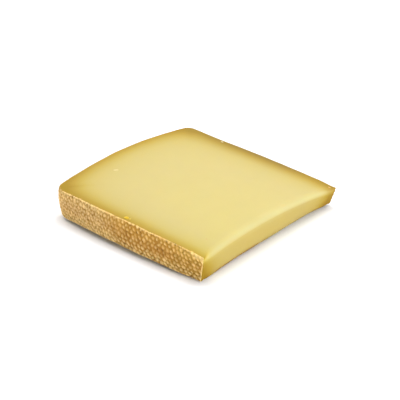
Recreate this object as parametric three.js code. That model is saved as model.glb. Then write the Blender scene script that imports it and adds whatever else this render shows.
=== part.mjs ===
// A slice of Gruyere lying on its broad cut face, as one solid.
// Millimetres, +Z up. The floor is z = 0 and the origin is under the middle of the slice.
// -X is the rim of the wheel, +X the plain cut, -Y and +Y the two flat sides of the wheel.
// Three of the four walls are rind, with the print of the cloth the wheel was pressed in.

import * as THREE from 'three';
import { toCreasedNormals } from 'three/addons/utils/BufferGeometryUtils.js';

// Plan of the upper face
const wheelHeight = 112;
const sideLength = 108.3;
const rimCrown = 2;
const cutHollow = 1;
const cornerRadius = { rimFront: 7.5, rimBack: 3.5, cutFront: 1, cutBack: 1 };

// Thickness at the four corners: the knife ran a little out of true
const thickness = { rimFront: 19, rimBack: 15.2, cutFront: 16.8, cutBack: 12.8 };

// The slice humps up between its two flat sides and stands on a strip along each of them
const topHump = 3.8;
const topEase = 0.2;
const footHump = 2.2;
const footStrip = { front: 9, back: 4.5 };

// How far each wall leans in by the time it reaches the floor, and what softens that:
// every wall swells out half way up, and the front foot bows out along its length
const lean = { rim: 2.2, cutFront: 3.5, cutBack: 3, front: 1.9, back: 1 };
const wallSwell = 0.7;
const frontBow = 1.2;

// Rounding of the edges above and below each kind of wall
const rindEdge = { top: 0.8, foot: 1.8 };
const cutEdge = { top: 3, foot: 1 };

// Cloth print: crossings of the weave that stand out from the rind, each row shifted along
const printPitch = 3;
const printDepth = 0.6;
const printSteps = 3;

// Fineness of the mesh
const cutSteps = 12;
const cornerSteps = { rind: 4, cut: 3 };
const edgeSteps = 2;
const wallSteps = 7;
const rings = [0, 0.42, 0.84];
const creaseAngle = Math.PI / 12;

const halfWidth = wheelHeight / 2;
const halfSide = sideLength / 2;
const rindStep = printPitch / printSteps;
const { lerp } = THREE.MathUtils;

// Place across the wheel, from -1 at the front flat side to 1 at the back one
const across = (y) => y / halfWidth;

// The rim bows out and the plain cut is a touch hollow, both most at the middle
const rimX = (y) => rimCrown / 2 - halfSide - rimCrown * (1 - across(y) ** 2);
const cutX = (y) => rimCrown / 2 + halfSide - cutHollow * (1 - across(y) ** 2);

// Bow between two ends at the same distance either side of the middle
function bow(edgeX, from, to) {
  const start = new THREE.Vector2(edgeX(from), from);
  const end = new THREE.Vector2(edgeX(to), to);
  const pull = new THREE.Vector2(2 * edgeX(0) - start.x, 0);
  return new THREE.QuadraticBezierCurve(start, pull, end);
}

function round(from, corner, to) {
  return new THREE.QuadraticBezierCurve(from, corner, to);
}

// The outline counter-clockwise from the plain cut, each stretch with its rind share at both ends
function outline() {
  const r = cornerRadius;
  const cutReach = halfWidth - r.cutFront;
  const rimReach = halfWidth - Math.max(r.rimFront, r.rimBack);
  const cut = bow(cutX, -cutReach, cutReach);
  const rim = bow(rimX, rimReach, -rimReach);
  const cutEnd = cutX(halfWidth);
  const rimEnd = rimX(halfWidth);
  const backRight = new THREE.Vector2(cutEnd - r.cutBack, halfWidth);
  const backLeft = new THREE.Vector2(rimEnd + r.rimBack, halfWidth);
  const frontLeft = new THREE.Vector2(rimEnd + r.rimFront, -halfWidth);
  const frontRight = new THREE.Vector2(cutEnd - r.cutFront, -halfWidth);
  const corner = {
    cutBack: new THREE.Vector2(cutEnd, halfWidth),
    rimBack: new THREE.Vector2(rimEnd, halfWidth),
    rimFront: new THREE.Vector2(rimEnd, -halfWidth),
    cutFront: new THREE.Vector2(cutEnd, -halfWidth),
  };
  const rindSteps = (curve) => Math.round(curve.getLength() / rindStep);
  const back = new THREE.LineCurve(backRight, backLeft);
  const front = new THREE.LineCurve(frontLeft, frontRight);
  return [
    { curve: cut, steps: cutSteps, rind: [0, 0] },
    { curve: round(cut.v2, corner.cutBack, backRight), steps: cornerSteps.cut, rind: [0, 1] },
    { curve: back, steps: rindSteps(back), rind: [1, 1] },
    { curve: round(backLeft, corner.rimBack, rim.v0), steps: cornerSteps.rind, rind: [1, 1] },
    { curve: rim, steps: rindSteps(rim), rind: [1, 1] },
    { curve: round(rim.v2, corner.rimFront, frontLeft), steps: cornerSteps.rind, rind: [1, 1] },
    { curve: front, steps: rindSteps(front), rind: [1, 1] },
    { curve: round(frontRight, corner.cutFront, cut.v0), steps: cornerSteps.cut, rind: [1, 0] },
  ];
}

// Points round the outline with the way out from each and how much rind it carries
function stationsRound(stretches) {
  const stations = [];
  for (const { curve, steps, rind } of stretches) {
    for (let k = 0; k < steps; k += 1) {
      const share = k / steps;
      const along = curve.getTangentAt(share);
      stations.push({
        point: curve.getPointAt(share),
        outward: new THREE.Vector2(along.y, -along.x),
        rind: lerp(rind[0], rind[1], share),
      });
    }
  }
  return stations;
}

// Height of the upper face: between the four corner thicknesses, plus the hump
function topZ(p) {
  const t = across(p.y);
  const toBack = (t + 1) / 2;
  const toCut = (p.x - rimX(halfWidth)) / sideLength;
  const atRim = lerp(thickness.rimFront, thickness.rimBack, toBack);
  const atCut = lerp(thickness.cutFront, thickness.cutBack, toBack);
  const hump = lerp(1 - t ** 2, (1 + Math.cos(Math.PI * t)) / 2, topEase);
  return lerp(atRim, atCut, toCut) + topHump * hump;
}

// Height of the underside: flat along both feet and humped between them
function footZ(p) {
  const span = wheelHeight - footStrip.front - footStrip.back;
  const middle = (footStrip.front - footStrip.back) / 2;
  const t = (p.y - middle) / (span / 2);
  return footHump * Math.max(0, 1 - t ** 2);
}

// How far a point of the plan has moved in at floor level
function leanAt(p) {
  const toBack = (across(p.y) + 1) / 2;
  const toCut = (p.x - rimX(halfWidth)) / sideLength;
  const cutLean = lerp(lean.cutFront, lean.cutBack, toBack);
  const frontLean = lean.front - frontBow * 4 * toCut * (1 - toCut);
  return new THREE.Vector2(lerp(lean.rim, -cutLean, toCut), lerp(frontLean, -lean.back, toBack));
}

// Rows of the half section, from the middle of the underside out, up the wall and back in on top.
// reach: share of the way to the outline. level: share of the height. turn: angle round an edge.
function sectionRows() {
  const rows = [];
  for (const reach of rings) {
    rows.push({ part: 'ring', reach, level: 0 });
  }
  for (let k = 0; k < edgeSteps; k += 1) {
    rows.push({ part: 'foot', reach: 1, level: 0, turn: (Math.PI / 2) * (k / edgeSteps) });
  }
  for (let k = 0; k <= wallSteps; k += 1) {
    rows.push({ part: 'wall', reach: 1, level: k / wallSteps });
  }
  for (let k = edgeSteps - 1; k >= 0; k -= 1) {
    rows.push({ part: 'brow', reach: 1, level: 1, turn: (Math.PI / 2) * (k / edgeSteps) });
  }
  for (const reach of [...rings].reverse()) {
    rows.push({ part: 'ring', reach, level: 1 });
  }
  return rows;
}

// Where one row of the section meets one station of the outline.
// crossing: 1 where the weave stands out there, otherwise 0.
function place(station, row, crossing) {
  const footRadius = lerp(cutEdge.foot, rindEdge.foot, station.rind);
  const topRadius = lerp(cutEdge.top, rindEdge.top, station.rind);
  const flat = station.point.clone().multiplyScalar(row.reach);
  const low = footZ(flat);
  const high = topZ(flat);
  let z = row.level === 0 ? low : high;
  if (row.part === 'foot') {
    flat.addScaledVector(station.outward, -footRadius * (1 - Math.sin(row.turn)));
    z = low + footRadius * (1 - Math.cos(row.turn));
  }
  if (row.part === 'wall') {
    const inside = row.level > 0 && row.level < 1;
    const print = inside ? printDepth * (crossing - 1 / printSteps) : 0;
    const swell = wallSwell * 4 * row.level * (1 - row.level);
    flat.addScaledVector(station.outward, swell + print * station.rind);
    z = lerp(low + footRadius, high - topRadius, row.level);
  }
  if (row.part === 'brow') {
    flat.addScaledVector(station.outward, -topRadius * (1 - Math.sin(row.turn)));
    z = high - topRadius * (1 - Math.cos(row.turn));
  }
  const lowness = 1 - (z - low) / (high - low);
  flat.addScaledVector(leanAt(flat), lowness);
  return new THREE.Vector3(flat.x, flat.y, z);
}

// A round puck turned from the half section, then drawn out to the outline of the slice
function sliceGeometry() {
  const stations = stationsRound(outline());
  const rows = sectionRows();
  const halfSection = rows.map((row) => new THREE.Vector2(row.reach, row.level));
  const geometry = new THREE.LatheGeometry(halfSection, stations.length);
  const position = geometry.getAttribute('position');
  for (let i = 0; i <= stations.length; i += 1) {
    for (let j = 0; j < rows.length; j += 1) {
      const crossing = (i + (printSteps - 1) * j) % printSteps === 0 ? 1 : 0;
      const spot = place(stations[i % stations.length], rows[j], crossing);
      position.setXYZ(i * rows.length + j, spot.x, spot.y, spot.z);
    }
  }
  return toCreasedNormals(geometry, creaseAngle);
}

const cheese = new THREE.MeshStandardMaterial({ color: '#ead68c', roughness: 0.55, metalness: 0 });
const slice = new THREE.Mesh(sliceGeometry(), cheese);
slice.name = 'gruyere_slice';

const part = new THREE.Group();
part.name = 'gruyere';
part.add(slice);

export default part;
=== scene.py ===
import math

import bmesh
import bpy
from mathutils import Matrix, Vector, noise


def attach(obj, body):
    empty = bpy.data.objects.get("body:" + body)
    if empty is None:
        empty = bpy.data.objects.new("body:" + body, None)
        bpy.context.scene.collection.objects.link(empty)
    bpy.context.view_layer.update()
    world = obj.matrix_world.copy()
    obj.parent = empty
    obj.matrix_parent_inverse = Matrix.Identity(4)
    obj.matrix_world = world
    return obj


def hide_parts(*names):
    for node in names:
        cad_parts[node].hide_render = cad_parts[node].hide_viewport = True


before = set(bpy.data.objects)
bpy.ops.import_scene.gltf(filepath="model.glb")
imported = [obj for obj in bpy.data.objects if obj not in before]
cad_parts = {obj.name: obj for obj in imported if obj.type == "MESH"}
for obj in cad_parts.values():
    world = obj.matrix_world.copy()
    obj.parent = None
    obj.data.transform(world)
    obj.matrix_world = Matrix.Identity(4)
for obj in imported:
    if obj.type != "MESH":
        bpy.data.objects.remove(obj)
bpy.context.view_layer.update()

scene = bpy.context.scene
millimetre = 0.001
sameShare = 1e-6  # closer than this, two shares of a length are one
samePlace = 1e-4  # and two places in millimetres


def blend(a, b, share):
    return a + (b - a) * share


def clamp(value):
    return min(max(value, 0.0), 1.0)


def ease(value):  # soft step from 0 to 1
    value = clamp(value)
    return value * value * (3 - 2 * value)


def rise(value, start, reach):  # 0 up to the start, then softly to 1 over the reach
    return ease((value - start) / reach)


def near(value, reach):  # 1 at nothing, softly down to 0 at the reach
    return ease(1 - value / reach)


# a band along an edge, from its width, how full it starts and how ragged it ends
def torn(away, band, frayed=0.0):
    width, full, ragged = band
    return ease(full - away / width + ragged * frayed)


def wavy(x, y, z, size, seed):
    return noise.noise(Vector((x / size, y / size, z / size + seed)))


# one socket of a finish, so that sums on it read as sums
class Wire:
    def __init__(self, finish, socket):
        self.finish = finish
        self.socket = socket

    def math(self, operation, first, second):
        return self.finish.node("ShaderNodeMath", {"operation": operation}, {0: first, 1: second})

    def __add__(self, other):
        return self.math("ADD", self, other)

    def __radd__(self, other):
        return self.math("ADD", other, self)

    def __sub__(self, other):
        return self.math("SUBTRACT", self, other)

    def __rsub__(self, other):
        return self.math("SUBTRACT", other, self)

    def __mul__(self, other):
        return self.math("MULTIPLY", self, other)

    def __rmul__(self, other):
        return self.math("MULTIPLY", other, self)

    def sway(self, amount):  # a grain of 0 to 1, made to sway about 0
        return (self - 0.5) * amount


# a material or the sky, and the short ways to fill it
class Finish:
    def __init__(self, owner):
        self.owner = owner
        self.owner.use_nodes = True
        self.tree = self.owner.node_tree
        self.tree.nodes.clear()

    def node(self, kind, settings=None, sockets=None, output=0):
        made = self.tree.nodes.new(kind)
        for key, value in (settings or {}).items():
            if key == "stops":
                self.setStops(made.color_ramp, value)
            else:
                setattr(made, key, value)
        for key, value in (sockets or {}).items():
            into = self.socketOf(made.inputs, key)
            if isinstance(value, Wire):
                self.tree.links.new(value.socket, into)
            else:
                into.default_value = value
        return Wire(self, self.socketOf(made.outputs, output)) if made.outputs else None

    def socketOf(self, sockets, key):
        if isinstance(key, int):
            return sockets[key]
        return next(s for s in sockets if s.name == key and s.enabled)

    def setStops(self, ramp, stops):
        while len(ramp.elements) > 1:
            ramp.elements.remove(ramp.elements[-1])
        ramp.elements[0].position, ramp.elements[0].color = stops[0]
        for position, colour in stops[1:]:
            ramp.elements.new(position).color = colour

    def place(self):
        return self.node("ShaderNodeTexCoord", output="Object")

    def mark(self, name):  # a value kept on the mesh's points
        return self.node("ShaderNodeAttribute", {"attribute_name": name}, output="Fac")

    def grain(self, scale, detail, rough=0.5, shift=(0, 0, 0)):
        spot = self.node("ShaderNodeMapping", None, {"Vector": self.place(), "Location": shift})
        sockets = {"Vector": spot, "Scale": scale, "Detail": detail, "Roughness": rough}
        return self.node("ShaderNodeTexNoise", None, sockets)

    def fade(self, value, low, high):  # 0 below low, 1 above high, soft between
        settings = {"interpolation_type": "SMOOTHSTEP"}
        sockets = {"Value": value, "From Min": low, "From Max": high}
        return self.node("ShaderNodeMapRange", settings, sockets)

    def tint(self, share, first, second, how="MIX"):
        settings = {"data_type": "RGBA", "blend_type": how}
        return self.node("ShaderNodeMix", settings, {"Factor": share, "A": first, "B": second}, "Result")

    def lighten(self, colour, amount):
        sockets = {"Color": colour, "Value": 1.0 + amount}
        return self.node("ShaderNodeHueSaturation", None, sockets)

    def shade(self, sockets, height=None, heightStep=0.0):
        if height is not None:
            bump = {"Strength": 1.0, "Distance": heightStep, "Height": height}
            sockets = {**sockets, "Normal": self.node("ShaderNodeBump", None, bump)}
        surface = self.node("ShaderNodeBsdfPrincipled", None, sockets)
        self.node("ShaderNodeOutputMaterial", None, {"Surface": surface})
        return self.owner


def newFinish(name):
    return Finish(bpy.data.materials.new(name))


def paint(red, green, blue):  # a colour as it looks on a screen, 0 to 255
    linear = []
    for value in (red, green, blue):
        value /= 255
        linear.append(value / 12.92 if value <= 0.04045 else ((value + 0.055) / 1.055) ** 2.4)
    return (*linear, 1.0)


def makeObject(bm, name):
    mesh = bpy.data.meshes.new(name)
    bm.to_mesh(mesh)
    bm.free()
    made = bpy.data.objects.new(name, mesh)
    scene.collection.objects.link(made)
    return made


# the slice in millimetres: +X towards the plain cut, Y from flat side to flat side.
# a pair of shares is where something starts on its way and over what stretch it comes in
sliceForm = {
    "wheelHeight": 112.0,
    "sideLength": 108.3,
    "rimCrown": 2.0,
    "rimOut": 0.35,
    "cutHollow": 1.0,
    "cutFlare": 0.5,
    "backBulge": 1.1,
    "bulgeAlong": (0.2, 0.35),  # shares of the way from rim to cut
    "bulgeFade": (0.45, 0.6, 0.4),  # what is lost of it again, and where
    "bulgeAcross": (0.8, 0.2),  # shares of the way from front to back
    "roundRimFront": 5.9,
    "roundRimBack": 4.0,
    "roundCut": 0.5,
    "thickRimFront": 19.0,
    "thickRimBack": 15.2,
    "thickCutFront": 16.8,
    "thickCutBack": 12.8,
    "topHump": 3.8,
    "topEase": 0.2,
    "dropCutFront": 0.6,
    "dropCutBack": 0.8,
    "dropAlong": (0.88, 0.12),  # from rim to cut
    "dropAcross": (0.6, 0.4),  # from the middle out to either flat side
    "liftCutBack": 1.1,
    "liftBackAcross": (0.5, 0.4),
    "liftBackAlong": (0.4, 0.6),
    "liftRimFront": 0.35,
    "liftFrontReach": (0.25, 0.4),  # towards the back and towards the cut
    "footHump": 1.2,
    "frontStrip": 9.0,
    "backStrip": 4.5,
    "leanRimFront": -0.3,
    "leanRimBack": 2.2,
    "leanCutFront": 3.5,
    "leanCutBack": 3.2,
    "leanFront": 1.9,
    "leanBack": 1.0,
    "frontBow": 3.4,
    "frontSkew": 0.3,
    "frontCurl": 2.3,
    "curlPeak": 0.75,  # below 1 the curl is highest nearer to the rim
    "curlReach": 8.0,
    "wallSwell": 0.7,
    "rindBrow": 0.8,
    "rindFoot": 1.8,
    "rindRunIn": 1.2,
    "frontFoot": 0.6,
    "frontFootRunIn": 0.08,  # share of the front
    "cutBrow": 4.0,
    "cutBrowDeep": 4.2,
    "cutFoot": 0.5,
    "edgeRunIn": 6.0,
    "cornerBrow": 0.35,
    "cornerFoot": 0.5,
    "cornerReach": 3.0,
    "cornerStraight": 11.0,
    "cells": (50, 51, 8),
    "fineCuts": 5,
    "fineStrip": 2.0,
    "cutBand": 4.3,
    "rindOver": (0.75, 0.45, 2.6, 5.0),  # rind over the edge: width, its waviness, size and seed of that
    "rindDeep": 0.1,
}

halfWidth = sliceForm["wheelHeight"] / 2
halfSide = sliceForm["sideLength"] / 2
halfMean = (halfSide + halfWidth) / 2
blockThick = 16.0


def rimX(y):
    crown = sliceForm["rimCrown"]
    return crown / 2 - sliceForm["rimOut"] - halfSide - crown * (1 - (y / halfWidth) ** 2)


def cutX(y):
    form = sliceForm
    flare = form["cutFlare"] * max(0.0, y / halfWidth) ** 3
    return form["rimCrown"] / 2 + halfSide - form["cutHollow"] * (1 - (y / halfWidth) ** 2) + flare


def shares(x, y):
    toBack = (y / halfWidth + 1) / 2
    toCut = (x - rimX(halfWidth)) / sliceForm["sideLength"]
    return toBack, toCut


# height of the upper face: its two corners at the plain cut hang a little
def topZ(x, y):
    form = sliceForm
    t = y / halfWidth
    toBack, toCut = shares(x, y)
    atRim = blend(form["thickRimFront"], form["thickRimBack"], toBack)
    atCut = blend(form["thickCutFront"], form["thickCutBack"], toBack)
    hump = blend(1 - t * t, (1 + math.cos(math.pi * t)) / 2, form["topEase"])
    corner = rise(toCut, *form["dropAlong"]) * rise(abs(t), *form["dropAcross"])
    drop = form["dropCutBack"] if t > 0 else form["dropCutFront"]
    return blend(atRim, atCut, toCut) + form["topHump"] * hump - drop * corner


# the underside is humped between its two feet, two corners are off the floor
# and the hard rind curls the front edge
def footZ(x, y):
    form = sliceForm
    span = form["wheelHeight"] - form["frontStrip"] - form["backStrip"]
    middle = (form["frontStrip"] - form["backStrip"]) / 2
    t = (y - middle) / (span / 2)
    toBack, toCut = shares(x, y)
    toCut = clamp(toCut)
    curl = form["frontCurl"] * math.sin(math.pi * toCut ** form["curlPeak"])
    curl *= near(y + halfWidth, form["curlReach"])
    lift = form["liftCutBack"] * rise(toBack, *form["liftBackAcross"])
    lift *= rise(toCut, *form["liftBackAlong"])
    reachAcross, reachAlong = form["liftFrontReach"]
    lift += form["liftRimFront"] * near(toBack, reachAcross) * near(toCut, reachAlong)
    return form["footHump"] * max(0.0, 1 - t ** 4) + curl + lift


# how far a place has moved in by the time its wall reaches the floor
def leanAt(x, y):
    form = sliceForm
    toBack, toCut = shares(x, y)
    along = clamp(toCut)
    cutLean = blend(form["leanCutFront"], form["leanCutBack"], toBack)
    frontLean = form["leanFront"] - form["frontBow"] * 4 * along * (1 - along)
    frontLean += form["frontSkew"] * (1 - along ** 3)
    rimLean = blend(form["leanRimFront"], form["leanRimBack"], toBack)
    return blend(rimLean, -cutLean, toCut), blend(frontLean, -form["leanBack"], toBack)


def bulgeAt(x, y):  # how far the back stands out beyond a straight line
    form = sliceForm
    toBack, toCut = shares(x, y)
    loss, start, reach = form["bulgeFade"]
    along = rise(toCut, *form["bulgeAlong"]) * (1 - loss * rise(toCut, start, reach))
    return form["backBulge"] * along * rise(toBack, *form["bulgeAcross"])


# point of the outline for a point on the edge of the square -1 to 1
def outlineAt(u, v):
    form = sliceForm
    if u > 0:
        radius = form["roundCut"]
    else:
        radius = form["roundRimBack"] if v > 0 else form["roundRimFront"]
    px = radius - (1 - abs(u)) * halfSide
    py = radius - (1 - abs(v)) * halfWidth
    x = halfSide - radius + px
    y = halfWidth - radius + py
    if px > 0 and py > 0:
        pull = max(px, py) / math.hypot(px, py)
        x = halfSide - radius + px * pull
        y = halfWidth - radius + py * pull
    y = math.copysign(y, v)
    toCut = (math.copysign(x, u) / halfSide + 1) / 2
    return blend(rimX(y), cutX(y), toCut), y


# way round the square: 0 to 1 is the plain cut, then come the back, the rim and the front
frontStart = 3
cutMiddle = 0.5
frontMiddle = 3.5
wayStep = 0.002


def wayRound(u, v):
    if abs(u) >= abs(v):
        return (v / u + 1) / 2 if u > 0 else 2 + (v / u + 1) / 2
    return 1 + (1 - u / v) / 2 if v > 0 else frontStart + (1 - u / v) / 2


def squareAt(way):
    side = int(way % 4)
    run = 2 * (way % 1) - 1
    return ((1, run), (-run, 1), (-1, -run), (run, -1))[side]


def outwardAt(way):
    before = outlineAt(*squareAt(way - wayStep))
    after = outlineAt(*squareAt(way + wayStep))
    alongX, alongY = after[0] - before[0], after[1] - before[1]
    length = math.hypot(alongX, alongY)
    return alongY / length, -alongX / length


def onCut(way):
    return way < 1


def pastUpright(way):  # distance round past the nearer upright edge of the plain cut, below 0 on the cut
    fromMiddle = abs((way - cutMiddle + 2) % 4 - 2)
    return (fromMiddle - 0.5) * sliceForm["wheelHeight"]


def fromUpright(way):
    return abs(pastUpright(way))


def rindShare(way):  # 0 on the plain cut, 1 on the three rind walls
    return ease(pastUpright(way) / sliceForm["rindRunIn"] + 1)


def edgeShare(way):  # the same, with a long run-in along the cut
    return ease(pastUpright(way) / sliceForm["edgeRunIn"] + 1)


# rounding of the edges at a place round the slice: brow inwards, brow downwards and foot
def edgesAt(way):
    form = sliceForm
    toRind = edgeShare(way)
    fromCorner = ease(fromUpright(way) / form["cornerReach"])
    brow = blend(form["cutBrow"], form["rindBrow"], toRind)
    browDeep = blend(form["cutBrowDeep"], form["rindBrow"], toRind)
    foot = blend(form["cutFoot"], form["rindFoot"], toRind)
    foot = blend(foot, form["frontFoot"], rise(way, frontStart, form["frontFootRunIn"]))
    brow = blend(form["cornerBrow"], brow, fromCorner)
    browDeep = blend(form["cornerBrow"], browDeep, fromCorner)
    foot = blend(form["cornerFoot"], foot, fromCorner)
    return brow, browDeep, foot


# inset and depth of a place on a rounded edge, which runs from 0 to 2
def roundEdge(edge, wide, deep):
    turn = math.pi / 4 * edge
    return wide * (1 - math.sin(turn)), deep * (1 - math.cos(turn))


# the paste: pale in the middle, straw, olive and then brown under the rind
pasteFinish = {
    "ages": [
        (0.030, (0.545, 0.456, 0.181, 1.0)),
        (0.075, (0.522, 0.434, 0.182, 1.0)),
        (0.125, (0.510, 0.418, 0.163, 1.0)),
        (0.175, (0.497, 0.396, 0.140, 1.0)),
        (0.225, (0.475, 0.366, 0.112, 1.0)),
        (0.275, (0.456, 0.342, 0.088, 1.0)),
        (0.325, (0.432, 0.314, 0.072, 1.0)),
        (0.400, (0.403, 0.275, 0.055, 1.0)),
        (0.500, (0.357, 0.234, 0.044, 1.0)),
        (0.600, (0.331, 0.214, 0.032, 1.0)),
    ],
    "front": (0.465, 5.9, 0.056, 14.0),  # darkening close to the rind and its reach, then the slow part
    "rim": (0.431, 5.3, 0.130, 40.0),
    "back": (0.673, 6.3, 0.035, 40.0),
    "frontChange": (1.06, 0.88),  # of the close part, at the rim and at the cut
    "backChange": (2.0, 3.0),  # of the slow part
    "cutEnds": (0.8, 7.0, 0.32),  # more of it low on the plain cut: amount, reach and where it is even
    "cutEndsTop": 1.5,
    "backCrust": (0.23, 0.157, 0.057, 1.0),
    "crustAlong": (0.1, 0.4),
    "crustReach": (7.0, 4.5),  # at the rim and further on
    "crustShare": (0.5, 1.0),
    "crustFade": (0.8, 0.6, 0.3),  # what is lost of it towards the cut, and where
    "dryLine": (-45.0, 6.0, 0.5),  # from and to along the foot of the cut, thickness
    "dryEnds": (2.0, 22.0),
    "dryRagged": (0.9, 1.3, 3.0),  # amount, size, seed
    "dryFull": 1.6,
    "dry": paint(150, 104, 44),
    "dryShare": 0.8,
    "wall": (0.814, 0.748, 0.575, 1.0),
    "wallStart": (1.2, 4.0),  # below the upper face
    # painted highlight over the rounded upper edge of the plain cut: its colour, where it starts and how
    # far it reaches
    "brow": (0.522, 0.464, 0.210, 1.0),
    "browStart": 1.6,
    "browWall": (3.9, 0.9, 2.8),  # how far down it goes, more at the middle, soft end
    "browMiddle": 1.2,
    "browOver": (0.3, 11.0),  # share and reach on the upper face
    "browEnds": 14.0,
    "straw": (1.03, 1.05, 0.80, 1.0),  # tint of the yellower upright edges of the cut
    "strawReach": 14.0,
    "strawStart": (1.0, 2.0),
    "broad": (70.0, 3.0),  # grains: scale, detail, roughness
    "fine": (1500.0, 3.0, 0.6),
    "pits": (2600.0, 2.0),
    "ageSpread": (0.86, 0.28),
    "mottle": 0.07,
    "fineMottle": 0.05,
    "roughness": (0.55, 0.2),
    "gloss": 0.01,
    "milky": 0.3,  # how much light goes into the paste and comes out again
    "milkyColours": (1.0, 0.62, 0.22),
    "milkyReach": 0.003,
    "bumps": (0.6, 0.4),  # of the fine grain and the pits
    "bumpStep": 0.00005,
}


# how far the paste has darkened, from its distances to the front, rim and back rind
def pasteAge(toCut, *distances):
    age = 0.0
    for side, distance in zip(("front", "rim", "back"), distances):
        close, closeReach, slow, slowReach = pasteFinish[side]
        if side == "front":
            close *= blend(*pasteFinish["frontChange"], toCut)
        if side == "back":
            slow *= blend(*pasteFinish["backChange"], toCut)
        age += close * math.exp(-distance / closeReach) + slow * math.exp(-distance / slowReach)
    return age


# darker towards the foot and paler higher up at both ends of the plain cut
def cutEndDarkening(y, lowness, belowTop):
    amount, reach, even = pasteFinish["cutEnds"]
    ends = amount * (lowness - even) * math.exp((abs(y) - halfWidth) / reach)
    return ends * ease(belowTop / pasteFinish["cutEndsTop"])


# thin brown line where the foot of the plain cut has dried, longest near the front
def dryFootShare(y, up):
    start, end, thick = pasteFinish["dryLine"]
    startReach, endReach = pasteFinish["dryEnds"]
    amount, size, seed = pasteFinish["dryRagged"]
    along = rise(y, start, startReach) * ease((end - y) / endReach)
    ragged = 1 + amount * noise.noise(Vector((y / size, seed, 0.0)))
    return along * ease(pasteFinish["dryFull"] - up / (thick * ragged))


# painted highlight: a paler band over the rounded upper edge of the plain cut
def browHighlightShare(way, inset, belowTop):
    deep, deeper, softEnd = pasteFinish["browWall"]
    share, reach = pasteFinish["browOver"]
    middle = ease(pasteFinish["browMiddle"] * fromUpright(way) / halfWidth)
    start = ease(belowTop / pasteFinish["browStart"])
    onWall = start * ease((deep + deeper * middle - belowTop) / softEnd)
    onTop = share * near(inset, reach) * (1 - start)
    return (onWall + onTop) * ease(fromUpright(way) / pasteFinish["browEnds"])


# brown of the rind drawn into the paste along the back: broad at the rim, thin and strong further on
def backCrustShare(x, y):
    toCut = shares(x, y)[1]
    along = rise(toCut, *pasteFinish["crustAlong"])
    reach = blend(*pasteFinish["crustReach"], along)
    loss, start, stretch = pasteFinish["crustFade"]
    share = blend(*pasteFinish["crustShare"], along) * (1 - loss * rise(toCut, start, stretch))
    return share * math.exp((y - halfWidth) / reach)


# yellower paste at the upright edges of the plain cut: over both faces in front, on the wall at the back
def strawShare(way, x, y, belowTop):
    reach = pasteFinish["strawReach"]
    atFront = math.exp(-math.hypot(halfSide - x, halfWidth + y) / reach)
    if not onCut(way):
        return atFront
    return max(atFront, math.exp((y - halfWidth) / reach) * rise(belowTop, *pasteFinish["strawStart"]))


# the print of the cheesecloth: rows of raised pads, tilted and shifted row by row
clothPrint = {
    "pitch": 3.1,
    "rowStep": 2.27,
    "rowShift": 1.1,
    "tilt": math.radians(7.5),
    "padLong": 1.75,
    "padHigh": 1.2,
    "padTurn": math.radians(28),
    "padSpread": (0.7, 0.55),  # smallest share of the size, and how much more it may be
    "padDome": (0.2, 0.85),  # where a pad starts to fall off, and over what share of its size
    "padRise": (0.6, 0.4),  # lowest pad, and how much higher one may be
    "padLevel": 0.45,  # the height that stays level with the wall
    "padSeed": 7.5,
    "depth": 0.6,
    "wornDepth": 0.85,
    "wander": 0.32,
    "warp": 0.45,
    "warpSize": 5.0,
    "finerWarp": (0.5, 1.9),  # share and size
    "warpSeeds": (21.0, 31.0),
    "fineLong": 0.83,
    "fineRough": 0.2,
    "rough": 0.26,
    "marks": (0.5, 1.1, 0.85, 1.15, 5.0),  # level, amount, length, height, seed
    "fineMarks": (0.4, 0.42, 0.5, 9.0),
    "swell": 0.35,
    "swellSize": 11.0,
    "swellSeed": 11.0,
    "wear": (0.3, 1.1, 21.0, 3.0),  # level, amount, size, seed
    "warmth": (0.35, 0.7, 17.0, 8.0),
    "wornPatch": (-38.0, 9.0, 27.0, 20.0),  # on the front: middle along and up, reach along and up
    "warmPatch": (8.0, 12.0, 30.0, 9.0),
    "warmPatchShare": 1.1,
    "patchFull": 1.5,
    "edgeStrip": 2.5,  # the print and the swell of the walls end this far in
    "edgeFade": (0.9, 1.2),  # below the upper edge and above the foot
    "printOver": 1.2,
    "fray": (1.7, 41.0),  # size, seed
    "fineFray": (0.6, 0.8, 42.0),  # share, size, seed
    "crustBand": (1.3, 1.4, 0.6),  # brown edges; bands give width, how full they start, raggedness
    "nearTop": (1.5, 6.0),
    "lipBand": (0.65, 1.2, 0.9),
    "lipOver": (0.5, 1.4, 0.0),
    "lipStrip": 3.0,
    "lipStart": (3.0, 5.0),  # from the rim
    "lipPatchy": (0.8, 1.2, 1.5, 43.0, 0.4),  # level, amount, size, seed, more on the pads
    "lipFull": (13.5, 5.0, 1.5, 0.8),  # middle and reach along the front, how full it starts, amount
    "lipThin": (0.2, 20.0, 20.0),  # what is lost of it towards the cut, and where
    "uprightLip": (0.9, 1.3, 0.7),
    "uprightShare": 0.75,
    "cornerLip": (1.0, 1.4, 0.5),
    "cornerSize": (9.0, 2.4),
    "cornerShare": 0.6,
    "lipRise": 0.3,
    "lipCurl": (1.6, 0.6),  # reach, level of the fraying
}


# share of a soft round patch on the front rind
def patchShare(patch, along, up):
    middleAlong, middleUp, reachAlong, reachUp = patch
    away = math.hypot((along - middleAlong) / reachAlong, (up - middleUp) / reachUp)
    return ease(clothPrint["patchFull"] - away)


def warpAt(around, up, seed):  # waviness of the threads
    share, size = clothPrint["finerWarp"]
    slow = wavy(around, up, 0, clothPrint["warpSize"], seed)
    return slow + share * wavy(around, up, 0, size, seed + 1)


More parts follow.
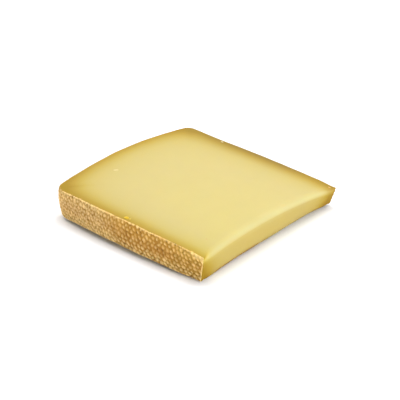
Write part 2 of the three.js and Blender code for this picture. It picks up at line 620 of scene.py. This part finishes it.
# height and tone of the pad nearest to a place in the lattice of the cloth
def padAt(a, b):
    cloth = clothPrint
    smallest, larger = cloth["padSpread"]
    fallStart, fallReach = cloth["padDome"]
    lowest, higher = cloth["padRise"]
    turnCos, turnSin = math.cos(cloth["padTurn"]), math.sin(cloth["padTurn"])
    firstRow = math.floor(b / cloth["rowStep"])
    height, tone = 0.0, 0.0
    for row in range(firstRow - 1, firstRow + 3):
        first = math.floor((a - row * cloth["rowShift"]) / cloth["pitch"])
        for pad in range(first - 1, first + 3):
            stray = noise.cell_vector(Vector((pad + 0.5, row + 0.5, cloth["padSeed"])))
            padA = pad * cloth["pitch"] + row * cloth["rowShift"] + cloth["wander"] * (2 * stray.x - 1)
            padB = row * cloth["rowStep"] + cloth["wander"] * (2 * stray.y - 1)
            long = cloth["padLong"] * (smallest + larger * stray.z)
            high = cloth["padHigh"] * (smallest + larger * stray.x)
            alongPad = (a - padA) * turnCos - (b - padB) * turnSin
            acrossPad = (a - padA) * turnSin + (b - padB) * turnCos
            reach = math.hypot(alongPad / long, acrossPad / high)
            dome = (1 - rise(reach, fallStart, fallReach)) * (lowest + higher * stray.y)
            if dome > height:
                height = dome
                tone = 2 * stray.z - 1
    return height, tone


# the cloth print at a place on the rind: height and tone there, wear and warmth
def printAt(way, up):
    cloth = clothPrint
    around = way * sliceForm["wheelHeight"]
    along = around - frontMiddle * sliceForm["wheelHeight"]
    level, amount, size, seed = cloth["wear"]
    worn = ease(level + amount * wavy(around, up, 0, size, seed))
    level, amount, size, seed = cloth["warmth"]
    warm = level + amount * wavy(around, up, 0, size, seed)
    if way >= frontStart:
        worn = patchShare(cloth["wornPatch"], along, up)
        warm = max(warm, cloth["warmPatchShare"] * patchShare(cloth["warmPatch"], along, up))
    warpA, warpB = [warpAt(around, up, seed) for seed in cloth["warpSeeds"]]
    a = along * math.cos(cloth["tilt"]) - up * math.sin(cloth["tilt"]) + cloth["warp"] * warpA
    b = along * math.sin(cloth["tilt"]) + up * math.cos(cloth["tilt"]) + cloth["warp"] * warpB
    height, tone = padAt(a, b)
    if worn > 0:  # rubbed parts: the threads between the pads show too, so the marks are finer
        fineHeight, fineTone = padAt(a / cloth["fineLong"], b)
        height, tone = blend(height, fineHeight, worn), blend(tone, fineTone, worn)
    level, amount, long, high, seed = cloth["marks"]
    marks = level + amount * noise.noise(Vector((a / long, b / high, seed)))
    amount, long, high, seed = cloth["fineMarks"]
    marks += amount * noise.noise(Vector((a / long, b / high, seed)))
    height = blend(height, clamp(marks), cloth["rough"] + cloth["fineRough"] * worn)
    return height, tone, worn, clamp(warm)


# how far the rind stands out at a place: the print, and a slow unevenness
def rindPush(x, y, z, inset, low, high, height, worn):
    cloth = clothPrint
    fadeTop, fadeFoot = cloth["edgeFade"]
    edgeFade = ease((high - z) / fadeTop) * ease((z - low) / fadeFoot)
    depth = cloth["depth"] * blend(1.0, cloth["wornDepth"], worn)
    slow = cloth["swell"] * wavy(x, y, z, cloth["swellSize"], cloth["swellSeed"])
    return near(inset, cloth["printOver"]) * (depth * (height - cloth["padLevel"]) * edgeFade + slow)


# frayed pale lip along the front and down its corner with the plain cut
def lipShare(x, y, z, belowTop, inset, height, frayed):
    cloth = clothPrint
    level, amount, size, seed, onPads = cloth["lipPatchy"]
    patchy = level + amount * wavy(x, y, z, size, seed) + onPads * height
    middle, reach, full, more = cloth["lipFull"]
    patchy += more * ease(full - abs(x - middle) / reach)
    lip = torn(belowTop, cloth["lipBand"], frayed) * clamp(patchy)
    lip *= rise(x + halfSide, *cloth["lipStart"]) * torn(inset, cloth["lipOver"])
    loss, start, stretch = cloth["lipThin"]
    lip *= 1 - loss * rise(x, start, stretch)
    fromCut = cutX(y) - x
    cornerLong, cornerHigh = cloth["cornerSize"]
    fromCorner = math.hypot(fromCut / cornerLong, belowTop / cornerHigh)
    upright = cloth["uprightShare"] * torn(fromCut, cloth["uprightLip"], frayed)
    corner = cloth["cornerShare"] * torn(fromCorner, cloth["cornerLip"], frayed)
    return max(lip, upright, corner)


# where a point of the plain block goes on the slice, with what the finishes need to know
def sliceSpot(box):
    form, cloth = sliceForm, clothPrint
    u, v = box.x / halfSide, box.y / halfWidth
    reach = max(abs(u), abs(v))
    level = box.z / blockThick
    way = wayRound(u, v) if reach > sameShare else cutMiddle
    brow, browDeep, foot = edgesAt(way)
    outX, outY = outlineAt(*squareAt(way))
    inset = (1 - reach) * halfMean
    onWall = inset < sameShare and sameShare < level < 1 - sameShare
    below = (1 - level) * blockThick
    above = level * blockThick
    sink, lift, wallShare = 0.0, 0.0, 0.0
    if level > 1 - sameShare or (onWall and below < brow):
        part = "top"
        edge = 1 + below / brow if onWall else 1 - inset / brow
        if edge > 0:
            inset, sink = roundEdge(edge, brow, browDeep)
    elif level < sameShare or (onWall and above < foot):
        part = "bottom"
        edge = 1 + above / foot if onWall else 1 - inset / foot
        if edge > 0:
            inset, lift = roundEdge(edge, foot, foot)
    else:
        part = "wall"
        wallShare = (above - foot) / (blockThick - foot - brow)
    x, y = outX * (1 - inset / halfMean), outY * (1 - inset / halfMean)
    y += bulgeAt(x, y)
    low, high = footZ(x, y), topZ(x, y)
    if part == "top":
        z = high - sink
    elif part == "bottom":
        z = low + lift
    else:
        z = blend(low + foot, high - browDeep, wallShare)
    # swell of the walls and relief of the rind
    height, tone, worn, warm = 0.0, 0.0, 0.0, 0.0
    if inset < cloth["edgeStrip"]:
        push = form["wallSwell"] * 4 * wallShare * (1 - wallShare)
        push *= ease(fromUpright(way) / form["cornerStraight"])
        rind = rindShare(way)
        if rind > 0:
            height, tone, worn, warm = printAt(way, z)
            push += rind * rindPush(x, y, z, inset, low, high, height, worn)
        wayX, wayY = outwardAt(way)
        x, y = x + wayX * push, y + wayY * push
    # pale lip at the front, brown edges elsewhere
    fineShare, fineSize, fineSeed = cloth["fineFray"]
    frayed = wavy(x, y, z, *cloth["fray"]) + fineShare * wavy(x, y, z, fineSize, fineSeed)
    crust = torn(min(high - z, z - low), cloth["crustBand"], frayed)
    lip = 0.0
    if y < cloth["lipStrip"] - halfWidth and x > cloth["lipStrip"] - halfSide:
        lip = lipShare(x, y, z, high - z, inset, height, frayed)
        crust *= 1 - rise(x + halfSide, *cloth["lipStart"])
        if part == "top":
            curlReach, curlLevel = cloth["lipCurl"]
            z += cloth["lipRise"] * lip * near(inset, curlReach) * (curlLevel + frayed)
    belowTop = high - z
    lowness = 1 - (z - low) / (high - low)
    leanX, leanY = leanAt(x, y)
    x, y = x + leanX * lowness, y + leanY * lowness
    age = pasteAge((u + 1) / 2, halfWidth + box.y, box.x + halfSide, halfWidth - box.y)
    if onCut(way):
        age += cutEndDarkening(box.y, lowness, belowTop)
    facts = {
        "age": age,
        "print": height,
        "padTone": tone,
        "worn": worn,
        "warm": warm,
        "lip": lip,
        "crust": crust,
        "aboveFoot": z - low,
        "onWall": rise(belowTop, *pasteFinish["wallStart"]),
        "nearTop": 1 - rise(belowTop, *cloth["nearTop"]),
        "onBrow": browHighlightShare(way, inset, belowTop) if onCut(way) else 0.0,
        "dryFoot": dryFootShare(box.y, z - low) if onCut(way) else 0.0,
        "backCrust": backCrustShare(box.x, box.y),
        "straw": strawShare(way, box.x, box.y, belowTop),
    }
    return Vector((x, y, z)), facts


sliceMarks = (
    "age", "print", "padTone", "worn", "warm", "lip", "crust", "aboveFoot",
    "onWall", "nearTop", "onBrow", "dryFoot", "backCrust", "straw",
)


def makeSlice():
    form = sliceForm
    bm = bmesh.new()
    bmesh.ops.create_cube(bm, size=1.0)
    bmesh.ops.translate(bm, verts=bm.verts, vec=(0, 0, 0.5))
    bmesh.ops.scale(bm, verts=bm.verts, vec=(form["sideLength"], form["wheelHeight"], blockThick))
    for axis, cells in enumerate(form["cells"]):
        across = [e for e in bm.edges if abs((e.verts[0].co - e.verts[1].co)[axis]) > samePlace]
        bmesh.ops.subdivide_edges(bm, edges=across, cuts=cells - 1, use_grid_fill=True)
    # finer faces on the rind, over its edges and along the plain cut's upper edge
    fine = []
    for face in bm.faces:
        spot = face.calc_center_median()
        fromRind = min(halfWidth - abs(spot.y), spot.x + halfSide)
        fromBrow = (halfSide - spot.x, blockThick - spot.z)
        alongBrow = min(fromBrow) < samePlace and max(fromBrow) < form["cutBand"]
        if fromRind < form["fineStrip"] or alongBrow:
            fine.append(face)
    edges = list({e for face in fine for e in face.edges})
    bmesh.ops.subdivide_edges(bm, edges=edges, cuts=form["fineCuts"], use_grid_fill=True)
    many = [face for face in bm.faces if len(face.verts) > 4]
    bmesh.ops.triangulate(bm, faces=many)
    layers = {name: bm.verts.layers.float.new(name) for name in sliceMarks}
    # the rind laps a little over the edges of both broad faces
    width, amount, size, seed = form["rindOver"]
    for face in bm.faces:
        spot = face.calc_center_median()
        onFlat = min(spot.z, blockThick - spot.z) < samePlace
        fromRind = min(halfWidth - abs(spot.y), spot.x + halfSide)
        lap = width + amount * wavy(spot.x, spot.y, spot.z, size, seed)
        isRind = fromRind < (lap if onFlat else form["rindDeep"]) and halfSide - spot.x >= samePlace
        face.material_index = 1 if isRind else 0
        face.smooth = True
    for vert in bm.verts:
        vert.co, facts = sliceSpot(vert.co)
        for name in sliceMarks:
            vert[layers[name]] = facts[name]
    bmesh.ops.scale(bm, verts=bm.verts, vec=(millimetre,) * 3)
    return makeObject(bm, "cheeseSlice")


def makePaste():
    looks = pasteFinish
    finish = newFinish("paste")
    broad = finish.grain(*looks["broad"])
    fine = finish.grain(*looks["fine"])
    pits = finish.grain(*looks["pits"])
    youngest, spread = looks["ageSpread"]
    age = finish.mark("age") * (youngest + spread * broad)
    colour = finish.node("ShaderNodeValToRGB", {"stops": looks["ages"]}, {"Fac": age})
    colour = finish.tint(finish.mark("onWall"), colour, looks["wall"], "MULTIPLY")
    colour = finish.tint(finish.mark("straw"), colour, looks["straw"], "MULTIPLY")
    # painted highlight along the rounded upper edge of the plain cut
    colour = finish.tint(finish.mark("onBrow"), colour, looks["brow"])
    colour = finish.tint(finish.mark("dryFoot") * looks["dryShare"], colour, looks["dry"])
    colour = finish.tint(finish.mark("backCrust"), colour, looks["backCrust"])
    mottled = broad.sway(looks["mottle"]) + fine.sway(looks["fineMottle"])
    rough, roughSpread = looks["roughness"]
    fineBump, pitBump = looks["bumps"]
    return finish.shade(
        {
            "Base Color": finish.lighten(colour, mottled),
            "Roughness": rough + fine.sway(roughSpread),
            "Specular IOR Level": looks["gloss"],
            "Subsurface Weight": looks["milky"],
            "Subsurface Radius": looks["milkyColours"],
            "Subsurface Scale": looks["milkyReach"],
        },
        fine * fineBump + pits * pitBump, looks["bumpStep"],
    )


# the rind: pale pads of the cloth print with brown between them and dark specks in the gaps
rindFinish = {
    "pad": paint(194, 152, 77),
    "padWarm": paint(192, 147, 74),
    "padWorn": paint(209, 173, 113),
    # straw colour of the lower rind, also painted lighter to fill in the shade near the foot
    "padLowStrawAndFillLight": paint(213, 184, 118),
    # painted highlight on the tops of the raised pads
    "padHighlight": paint(234, 204, 141),
    "groove": paint(151, 108, 30),
    "grooveWarm": paint(160, 108, 33),
    "grooveWorn": paint(160, 115, 46),
    "speck": paint(94, 66, 23),
    "lip": paint(246, 218, 146),
    "crust": paint(143, 110, 44),
    "high": (1.19, 1.27, 1.26, 1.0),  # tint of the upper part
    "powder": (260.0, 3.0, 0.6, (3, 1, 2)),  # grains: scale, detail, roughness, shift
    "fibre": (1400.0, 4.0, 0.65),
    "blot": (620.0, 2.0, 0.6, (1, 5, 4)),
    "warmFade": (0.25, 0.95),  # fades: none below the first value, all above the second
    "warmPowder": 0.8,
    "warmTone": 0.2,
    "lowFade": (1.5, 8.0),
    "lowPowder": 5.0,
    "lowShare": 0.85,
    "padHighlightFade": (0.55, 1.0),
    "padHighlightBlot": 0.5,
    "padHighlightShare": 0.5,
    "proudFade": (0.0, 0.7),
    "proudFibre": 0.3,
    "speckFade": (0.5, 0.62),
    "speckLow": 0.05,
    "speckRaised": 0.4,
    "speckShare": 0.7,
    "crustShare": 0.8,
    "highWorn": 0.5,
    "lipShare": 0.9,
    "toneShade": 0.08,
    "fibreShade": 0.45,
    "roughness": (0.72, 0.2),
    "gloss": 0.2,
    "milky": 0.08,
    "milkyColours": (1.0, 0.55, 0.2),
    "milkyReach": 0.001,
    "bumpStep": 0.00015,
}


def makeRind():
    looks = rindFinish
    finish = newFinish("rind")
    raised = finish.mark("print")
    tone = finish.mark("padTone")
    worn = finish.mark("worn")
    powder = finish.grain(*looks["powder"])
    fibre = finish.grain(*looks["fibre"])
    blot = finish.grain(*looks["blot"])
    warm = finish.mark("warm") + powder.sway(looks["warmPowder"]) + tone * looks["warmTone"]
    warm = finish.fade(warm, *looks["warmFade"])
    low = finish.mark("aboveFoot") + powder.sway(looks["lowPowder"])
    low = 1 - finish.fade(low, *looks["lowFade"])
    # painted highlight on the raised pads, patchy
    top = finish.fade(raised + blot.sway(looks["padHighlightBlot"]), *looks["padHighlightFade"])
    pad = finish.tint(warm, looks["pad"], looks["padWarm"])
    pad = finish.tint(worn, pad, looks["padWorn"])
    # paler near the foot: partly the rind's straw colour, partly painted light over the shade there
    pad = finish.tint(low * looks["lowShare"], pad, looks["padLowStrawAndFillLight"])
    pad = finish.tint(top * looks["padHighlightShare"], pad, looks["padHighlight"])
    speck = blot + low * looks["speckLow"] - raised * looks["speckRaised"]
    speck = finish.fade(speck, *looks["speckFade"])
    groove = finish.tint(warm, looks["groove"], looks["grooveWarm"])
    groove = finish.tint(worn, groove, looks["grooveWorn"])
    groove = finish.tint(speck * looks["speckShare"], groove, looks["speck"])
    proud = finish.fade(raised + fibre.sway(looks["proudFibre"]), *looks["proudFade"])
    colour = finish.tint(proud, groove, pad)
    colour = finish.tint(finish.mark("crust") * looks["crustShare"], colour, looks["crust"])
    high = finish.mark("nearTop") * (1 - worn * looks["highWorn"])
    colour = finish.tint(high, colour, looks["high"], "MULTIPLY")
    colour = finish.tint(finish.mark("lip") * looks["lipShare"], colour, looks["lip"])
    shaded = tone * looks["toneShade"] + fibre.sway(looks["fibreShade"])
    rough, roughSpread = looks["roughness"]
    return finish.shade(
        {
            "Base Color": finish.lighten(colour, shaded),
            "Roughness": rough + fibre.sway(roughSpread),
            "Specular IOR Level": looks["gloss"],
            "Subsurface Weight": looks["milky"],
            "Subsurface Radius": looks["milkyColours"],
            "Subsurface Scale": looks["milkyReach"],
        },
        fibre, looks["bumpStep"],
    )


crumbForm = {
    # place on the upper face, length, width, height, turn and tone of each crumb or fleck
    "crumbs": {
        "yellow": (-1.2, -53.4, 2.7, 1.7, 1.1, 30, 0.5),
        "yellowChip": (0.9, -53.0, 1.2, 0.8, 0.6, 80, 0.6),
        "paleLeft": (-40.1, -20.9, 3.0, 1.0, 0.2, 45, 1.0),
        "paleBack": (-25.3, 53.2, 1.6, 0.9, 0.5, 0, 1.0),
        "darkFront": (44.9, -42.0, 0.7, 0.5, 0.24, 45, 0.2),
        "pinkRight": (52.9, 53.4, 1.6, 0.8, 0.25, 0, 0.3),
    },
    "lumps": (0.5, 2.6, 5.0),  # amount, how close, and the step on to the next crumb's lumps
    "proud": 0.15,  # share of its height that a crumb's middle stands above the face
    "tones": [
        (0.0, paint(96, 70, 34)),
        (0.3, paint(220, 170, 106)),
        (0.5, paint(214, 178, 36)),
        (1.0, paint(210, 195, 140)),
    ],
    "grain": (1400.0, 3.0, 0.6),
    "toneSpread": 0.16,
    "roughness": (0.6, 0.3),
    "ior": 1.4,
    "bumpStep": 0.0001,
}


def makeCrumbs():
    amount, close, step = crumbForm["lumps"]
    bm = bmesh.new()
    toneLayer = bm.verts.layers.float.new("crumbTone")
    for number, (x, y, long, wide, high, turn, tone) in enumerate(crumbForm["crumbs"].values()):
        verts = bmesh.ops.create_icosphere(bm, subdivisions=3, radius=0.5)["verts"]
        for vert in verts:
            vert.co *= 1 + amount * noise.noise(vert.co * close + Vector((0, 0, step * number)))
            vert[toneLayer] = tone
        turned = Matrix.Rotation(math.radians(turn), 3, "Z")
        bmesh.ops.scale(bm, verts=verts, vec=(long, wide, high))
        bmesh.ops.rotate(bm, verts=verts, cent=(0, 0, 0), matrix=turned)
        bmesh.ops.translate(bm, verts=verts, vec=(x, y, topZ(x, y) + crumbForm["proud"] * high))
    for face in bm.faces:
        face.smooth = True
    bmesh.ops.scale(bm, verts=bm.verts, vec=(millimetre,) * 3)
    return makeObject(bm, "crumbs")


def makeCrumbFinish():
    looks = crumbForm
    finish = newFinish("crumb")
    grain = finish.grain(*looks["grain"])
    tone = finish.mark("crumbTone") + grain.sway(looks["toneSpread"])
    rough, roughSpread = looks["roughness"]
    return finish.shade(
        {
            "Base Color": finish.node("ShaderNodeValToRGB", {"stops": looks["tones"]}, {"Fac": tone}),
            "Roughness": rough + grain.sway(roughSpread),
            "IOR": looks["ior"],
        },
        grain, looks["bumpStep"],
    )


cheeseSlice = makeSlice()
cheeseSlice.data.materials.append(makePaste())
cheeseSlice.data.materials.append(makeRind())
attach(cheeseSlice, "root")
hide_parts("gruyere_slice")
print("slice:", len(cheeseSlice.data.polygons), "faces")

looseCrumbs = makeCrumbs()
looseCrumbs.data.materials.append(makeCrumbFinish())
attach(looseCrumbs, "root")
print("crumbs:", len(crumbForm["crumbs"]))

# white studio floor, soft lamps all round and a long lens
studio = {
    "white": (1.0, 1.0, 1.0, 1.0),
    "floorSize": 4.0,
    "floor": (0.94, 0.955, 0.99, 1.0),
    "floorRoughness": 0.9,
    "floorGloss": 0.1,
    "farGlow": (0.35, 1.0, 0.9),  # the floor glows white from here to here, by this much
    "sky": 0.01,
    "azimuth": 41.07,
    "elevation": 28.78,
    "distance": 0.88836,
    "aim": (0.00286, 0.00116, 0.008),
    "lens": 144.0,
    "sensor": 36.0,
    "lampDistance": 1.2,
    "lampWidth": 0.6,
    "lamps": {  # way round from the front, rise and power
        "frontLamp": (0, 10, 6.9),
        "leftLamp": (270, 10, 8.1),
        "rightLamp": (90, 10, 8.5),
        "rightHighLamp": (90, 30, 5.6),
        "backRightLamp": (135, 50, 2.4),
        "backLamp": (180, 30, 2.1),
        "backHighLamp": (180, 50, 2.3),
        "leftHighLamp": (270, 50, 6.4),
        "backLeftLamp": (225, 65, 2.9),
        "overheadLamp": (180, 78, 5.1),
    },
}


def makeFloor():
    bm = bmesh.new()
    bmesh.ops.create_grid(bm, x_segments=1, y_segments=1, size=studio["floorSize"] / 2)
    floor = makeObject(bm, "studioFloor")
    finish = newFinish("studioWhite")
    start, end, strength = studio["farGlow"]
    away = finish.node("ShaderNodeVectorMath", {"operation": "LENGTH"}, {0: finish.place()}, "Value")
    far = finish.fade(away, start, end)
    glow = finish.node("ShaderNodeCombineColor", None, {"Red": far, "Green": far, "Blue": far})
    looks = {
        "Base Color": studio["floor"],
        "Roughness": studio["floorRoughness"],
        "Specular IOR Level": studio["floorGloss"],
        "Emission Color": glow,
        "Emission Strength": strength,
    }
    floor.data.materials.append(finish.shade(looks))


def makeSky():  # looks white, but lights the slice only a little
    world = bpy.data.worlds.new("studioSky")
    sky = Finish(world)
    dim = sky.node("ShaderNodeBackground", None, {"Color": studio["white"], "Strength": studio["sky"]})
    bright = sky.node("ShaderNodeBackground", None, {"Color": studio["white"], "Strength": 1.0})
    seen = sky.node("ShaderNodeLightPath", output="Is Camera Ray")
    either = sky.node("ShaderNodeMixShader", None, {0: seen, 1: dim, 2: bright})
    sky.node("ShaderNodeOutputWorld", None, {"Surface": either})
    scene.world = world


def wayTo(azimuth, elevation):  # from the slice, with 0 at the front and 90 at the plain cut
    around, up = math.radians(azimuth), math.radians(elevation)
    return Vector((math.sin(around) * math.cos(up), -math.cos(around) * math.cos(up), math.sin(up)))


def makeLamp(name, azimuth, elevation, power):
    data = bpy.data.lights.new(name, "AREA")
    data.size = studio["lampWidth"]
    data.energy = power
    lamp = bpy.data.objects.new(name, data)
    lamp.visible_camera = False
    scene.collection.objects.link(lamp)
    way = wayTo(azimuth, elevation)
    lamp.location = way * studio["lampDistance"]
    lamp.rotation_euler = way.to_track_quat("Z", "Y").to_euler()


def makeCamera():
    back = wayTo(studio["azimuth"], studio["elevation"])
    data = bpy.data.cameras.new("camera")
    data.lens = studio["lens"]
    data.sensor_width = studio["sensor"]
    camera = bpy.data.objects.new("camera", data)
    scene.collection.objects.link(camera)
    camera.location = Vector(studio["aim"]) + back * studio["distance"]
    camera.rotation_euler = back.to_track_quat("Z", "Y").to_euler()
    scene.camera = camera


makeFloor()
makeSky()
for lampName, lampSetting in studio["lamps"].items():
    makeLamp(lampName, *lampSetting)
makeCamera()
scene.view_settings.view_transform = "Standard"
scene.view_settings.look = "None"
print("studio ready")
